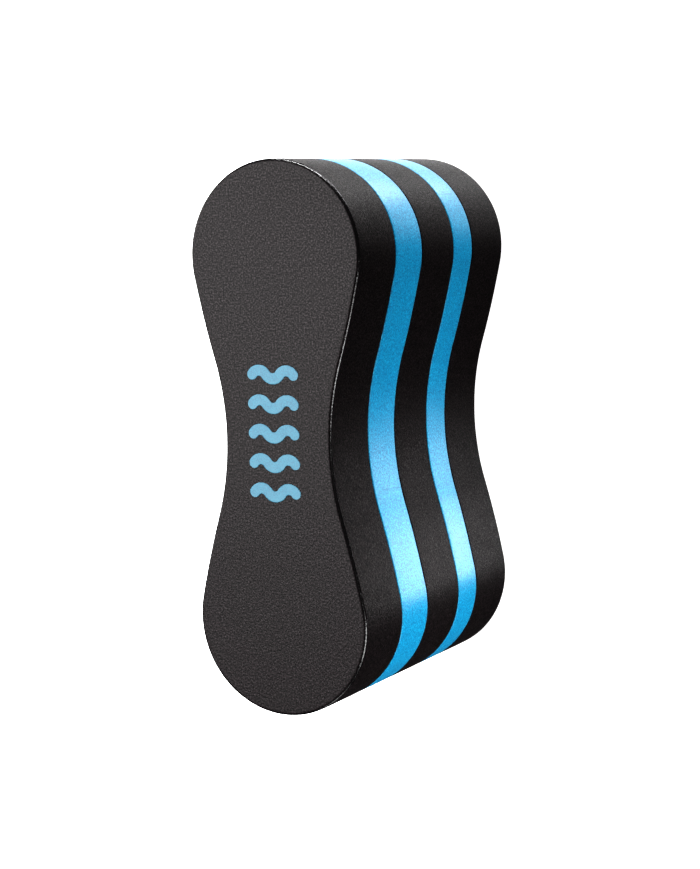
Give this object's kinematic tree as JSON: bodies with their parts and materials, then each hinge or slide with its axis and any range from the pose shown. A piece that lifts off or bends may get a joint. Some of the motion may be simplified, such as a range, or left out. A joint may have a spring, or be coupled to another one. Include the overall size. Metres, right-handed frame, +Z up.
{
  "type": "pull buoy",
  "caption": "Figure-eight foam block held between the thighs to float a swimmer's legs during arm-stroke drills; layered black and blue closed-cell foam.",
  "frame": {"origin": "middle of the back face, on the surface that the buoy lies on", "axes": "+Z up through the foam layers from the back face to the printed front face; Y along the figure eight from lobe to lobe; X across it"},
  "size_m": [0.0788, 0.23, 0.1401],
  "materials": {
    "black_foam": "matte closed-cell foam",
    "blue_foam": "matte closed-cell foam",
    "bond_adhesive": "dried contact adhesive",
    "print_ink": "matte screen print"
  },
  "bodies": {
    "root": {"back_layer": "black_foam", "middle_layer": "black_foam", "front_layer": "black_foam", "narrow_stripe_layer": "blue_foam", "wide_stripe_layer": "blue_foam", "bond_film_1": "bond_adhesive", "bond_film_2": "bond_adhesive", "bond_film_3": "bond_adhesive", "bond_film_4": "bond_adhesive", "print_ripple_1": "print_ink", "print_ripple_2": "print_ink", "print_ripple_3": "print_ink", "print_ripple_4": "print_ink", "print_ripple_5": "print_ink"}
  },
  "joints": []
}
